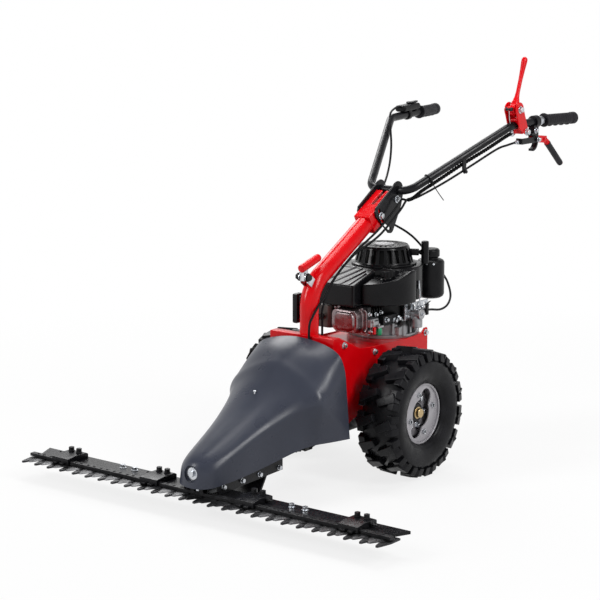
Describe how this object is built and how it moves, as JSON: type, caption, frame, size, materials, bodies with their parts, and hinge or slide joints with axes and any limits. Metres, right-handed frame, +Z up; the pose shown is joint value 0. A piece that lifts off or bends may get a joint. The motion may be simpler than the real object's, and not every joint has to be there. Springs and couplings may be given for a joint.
{
  "type": "sickle bar mower",
  "caption": "Two-wheeled walk-behind mower with a wide reciprocating knife bar in front, a moulded cowl, an engine on a folded frame and a tilting handlebar.",
  "frame": {"origin": "on the ground under the middle of the whole machine", "axes": "+Z up, -Y the way the machine drives, +X the side of the machine on the operator's left"},
  "size_m": [1.1276, 1.386, 1.0387],
  "materials": {
    "red_paint": "gloss",
    "red_plastic": "satin",
    "black_paint": "satin",
    "cowl_plastic": "satin",
    "black_plastic": "satin",
    "grip_rubber": "matt",
    "tyre_rubber": "matt",
    "rim_paint": "satin",
    "bright_steel": "bright",
    "dark_steel": "satin",
    "cast_alloy": "cast",
    "gear_case": "painted",
    "bronze": "plain"
  },
  "bodies": {
    "chassis": {"frame": "red_paint", "frame_bolts": "bright_steel", "gearbox_left": "gear_case", "gearbox_right": "gear_case", "gearbox_bolts": "bright_steel", "axle_bushes": "bronze", "drive_tube": "black_paint", "swing_box": "cast_alloy", "carrier": "black_paint", "carrier_bolts": "bright_steel", "centre_skid": "black_paint", "bar_plate": "black_paint", "comb_fingers": "bright_steel", "knife_clamps": "black_paint", "clamp_bolts": "dark_steel", "bar_bolts": "bright_steel", "cowl": "cowl_plastic", "cowl_fixings": "bright_steel", "column": "red_paint", "column_head": "red_paint", "tilt_bolts": "bright_steel", "knee_clevis": "bright_steel", "column_guard": "black_paint", "crankcase": "cast_alloy", "cylinder_block": "cast_alloy", "rocker_cover": "bright_steel", "silencer": "bright_steel", "shroud": "black_plastic", "starter_cover": "black_plastic", "starter_disc": "cast_alloy", "fuel_tank": "black_plastic", "air_filter": "black_plastic", "carburettor": "cast_alloy", "engine_bolts": "bright_steel", "lower_cables": "black_plastic"},
    "wheels": {"axle_shaft": "bright_steel", "rims": "rim_paint", "tyre_left": "tyre_rubber", "tyre_right": "tyre_rubber", "wheel_bolts": "bright_steel"},
    "drive_shaft": {"drive_shaft": "bright_steel"},
    "swing_lever": {"swing_lever": "bright_steel"},
    "knife": {"knife_back": "dark_steel", "knife_sections": "bright_steel"},
    "crankshaft": {"crankshaft": "bright_steel"},
    "handlebar": {"tilt_plates": "black_paint", "handle_tube": "black_paint", "grips": "grip_rubber", "lever_bracket": "red_paint", "lever_clamp": "black_paint", "throttle_housing": "black_plastic", "clutch_cable": "black_plastic", "drive_conduit": "black_plastic", "throttle_cable": "black_plastic"},
    "drive_lever": {"drive_lever": "red_plastic"},
    "clutch_lever": {"clutch_lever": "red_plastic"},
    "throttle_lever": {"throttle_lever": "black_plastic"},
    "knee_lever": {"knee_lever": "red_plastic"},
    "starter_grip": {"starter_grip": "black_plastic"},
    "fuel_cap": {"fuel_cap": "black_plastic"}
  },
  "joints": [
    {"name": "wheels_roll", "type": "hinge", "parent": "chassis", "child": "wheels", "pos_m": [0, -0.04503, 0.165], "axis": [1, 0, 0], "continuous": true},
    {"name": "drive_shaft_spin", "type": "hinge", "parent": "chassis", "child": "drive_shaft", "pos_m": [0, 0, 0.185], "axis": [0, 1, 0], "continuous": true},
    {"name": "knife_stroke", "type": "slide", "parent": "chassis", "child": "knife", "axis": [1, 0, 0], "range_m": [-0.022, 0.022]},
    {"name": "swing_lever_turn", "type": "hinge", "parent": "chassis", "child": "swing_lever", "pos_m": [0, -0.53503, 0.08], "axis": [0, 0, 1], "range_deg": [-11.25, 11.25]},
    {"name": "crankshaft_spin", "type": "hinge", "parent": "chassis", "child": "crankshaft", "pos_m": [0, 0.10697, 0.44], "axis": [0, 0, 1], "continuous": true},
    {"name": "handlebar_tilt", "type": "hinge", "parent": "chassis", "child": "handlebar", "pos_m": [0, 0.11913, 0.67874], "axis": [1, 0, 0], "range_deg": [-36, 8]},
    {"name": "drive_lever_pull", "type": "hinge", "parent": "handlebar", "child": "drive_lever", "pos_m": [0.1965, 0.42513, 0.90074], "axis": [1, 0, 0], "range_deg": [-60, 0], "stiffness_Nm_per_rad": 1.2, "springref_deg": 28.65},
    {"name": "clutch_lever_squeeze", "type": "hinge", "parent": "handlebar", "child": "clutch_lever", "pos_m": [0.204, 0.51413, 0.81474], "axis": [1, 0, 0], "range_deg": [0, 23], "stiffness_Nm_per_rad": 2, "springref_deg": -22.92},
    {"name": "throttle_turn", "type": "hinge", "parent": "handlebar", "child": "throttle_lever", "pos_m": [-0.20129, 0.51826, 0.86112], "axis": [0.0028, -0.0406, 0.9992], "range_deg": [-30, 30]},
    {"name": "knee_lever_lift", "type": "hinge", "parent": "chassis", "child": "knee_lever", "pos_m": [0, -0.23964, 0.51958], "axis": [1, 0, 0], "range_deg": [0, 60]},
    {"name": "starter_pull", "type": "slide", "parent": "chassis", "child": "starter_grip", "axis": [0.866, 0.5, 0], "range_m": [0, 0.14], "stiffness_N_per_m": 30, "springref_m": -0.25},
    {"name": "fuel_cap_turn", "type": "hinge", "parent": "chassis", "child": "fuel_cap", "pos_m": [0.084, 0.00497, 0.5], "axis": [0, 0, 1], "range_deg": [0, 90]}
  ],
  "couplings": [
    {"joint": "swing_lever_turn", "follows": "knife_stroke", "rad_per_m": 8.9064}
  ]
}
